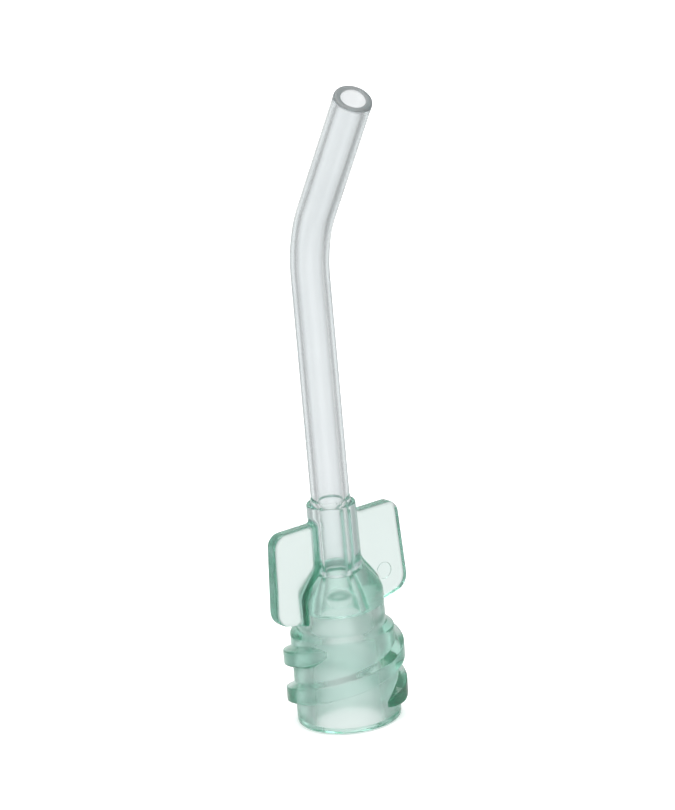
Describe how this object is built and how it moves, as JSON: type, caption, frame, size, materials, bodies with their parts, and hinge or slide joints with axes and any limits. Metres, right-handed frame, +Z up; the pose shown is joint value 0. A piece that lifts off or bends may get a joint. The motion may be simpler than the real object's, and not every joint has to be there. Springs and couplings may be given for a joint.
{
  "type": "saliva ejector tip",
  "caption": "Small bent suction tip: a clear green winged hub with a female luer lock socket, a slender bent clear tube and the adhesive bond that joins them.",
  "frame": {"origin": "centre of the luer socket's mouth, in the plane of the hub's flat base", "axes": "+Z up the hub's axis from the luer socket towards the tube; the two wings lie along +X and -X; the tube's nose bends towards -Y"},
  "size_m": [0.0104, 0.0112, 0.0429],
  "materials": {
    "hub_plastic": "clear green injection-moulded plastic, glossy with a faint haze",
    "tube_plastic": "almost colourless extruded tube with a faint grey-green tint, satin gloss",
    "bond_resin": "clear cured adhesive, glossy"
  },
  "bodies": {
    "root": {"hub": "hub_plastic", "cannula": "tube_plastic", "adhesive_bond": "bond_resin"}
  },
  "joints": []
}
